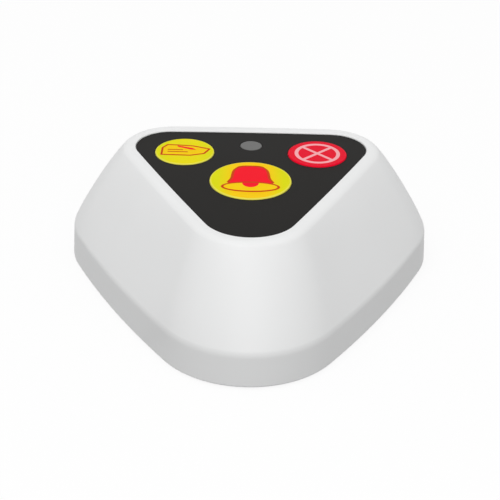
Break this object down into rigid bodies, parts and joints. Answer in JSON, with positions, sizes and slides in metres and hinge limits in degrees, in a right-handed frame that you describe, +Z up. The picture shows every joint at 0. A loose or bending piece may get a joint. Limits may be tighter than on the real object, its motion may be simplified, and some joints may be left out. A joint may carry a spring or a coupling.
{
  "type": "wireless waiter call button",
  "caption": "Tabletop call button: white rounded-triangle housing, sloped sides, dark panel with a large round call key, smaller round keys and a lamp window, battery door below.",
  "frame": {"origin": "middle of the footprint, on the table under the feet", "axes": "+Z up, rounded tip of the housing towards -Y, width along X"},
  "size_m": [0.086, 0.0814, 0.0276],
  "materials": {
    "shell": "smooth white moulded plastic, satin gloss",
    "plate": "fine-grained white moulded plastic",
    "door": "fine-grained white moulded plastic",
    "film": "satin dark grey printed film",
    "call_key": "yellow key with a red bell picture",
    "bill_key": "yellow key with an orange-red line picture",
    "cancel_key": "red key with a pale ring and cross",
    "stem": "black moulded plastic",
    "spring_steel": "thin bright spring steel",
    "light_guide": "smoked clear plastic",
    "lamp": "tinted clear lamp body",
    "tinned": "tinned metal",
    "board": "green lacquered circuit board",
    "switch_base": "black moulded plastic",
    "switch_cover": "stamped bright steel",
    "battery": "dark sleeved cell with bright ends",
    "contact": "nickel-plated strip",
    "feet": "soft black rubber",
    "screws": "zinc-plated steel",
    "chip": "black moulded package",
    "resistor": "black glazed chip",
    "aerial": "stamped brass",
    "can": "drawn nickel-plated can",
    "capacitor": "bare aluminium can"
  },
  "bodies": {
    "housing": {"top_shell": "shell", "base_plate": "plate", "printed_film": "film", "call_switch_dome": "spring_steel", "bill_switch_dome": "spring_steel", "cancel_switch_dome": "spring_steel", "lamp_window": "light_guide", "lamp": "lamp", "lamp_pins": "tinned", "circuit_board": "board", "switch_bases": "switch_base", "switch_covers": "switch_cover", "switch_legs": "tinned", "battery": "battery", "battery_spring": "spring_steel", "minus_contact": "contact", "plus_contact": "contact", "rubber_feet": "feet", "housing_screws": "screws", "control_chip": "chip", "chip_leads": "tinned", "chip_resistors": "resistor", "aerial": "aerial", "resonator_can": "can", "capacitor": "capacitor"},
    "call_button": {"call_key": "call_key", "call_switch_stem": "stem"},
    "bill_button": {"bill_key": "bill_key", "bill_switch_stem": "stem"},
    "cancel_button": {"cancel_key": "cancel_key", "cancel_switch_stem": "stem"},
    "door": {"battery_door": "door"}
  },
  "joints": [
    {"name": "call_press", "type": "slide", "parent": "housing", "child": "call_button", "axis": [0, 0, -1], "range_m": [0, 0.0003], "stiffness_N_per_m": 600, "springref_m": -0.002, "deforming": ["call_switch_dome"]},
    {"name": "bill_press", "type": "slide", "parent": "housing", "child": "bill_button", "axis": [0, 0, -1], "range_m": [0, 0.0003], "stiffness_N_per_m": 600, "springref_m": -0.002, "deforming": ["bill_switch_dome"]},
    {"name": "cancel_press", "type": "slide", "parent": "housing", "child": "cancel_button", "axis": [0, 0, -1], "range_m": [0, 0.0003], "stiffness_N_per_m": 600, "springref_m": -0.002, "deforming": ["cancel_switch_dome"]},
    {"name": "door_slide", "type": "slide", "parent": "housing", "child": "door", "axis": [-1, 0, 0], "range_m": [0, 0.003]}
  ]
}
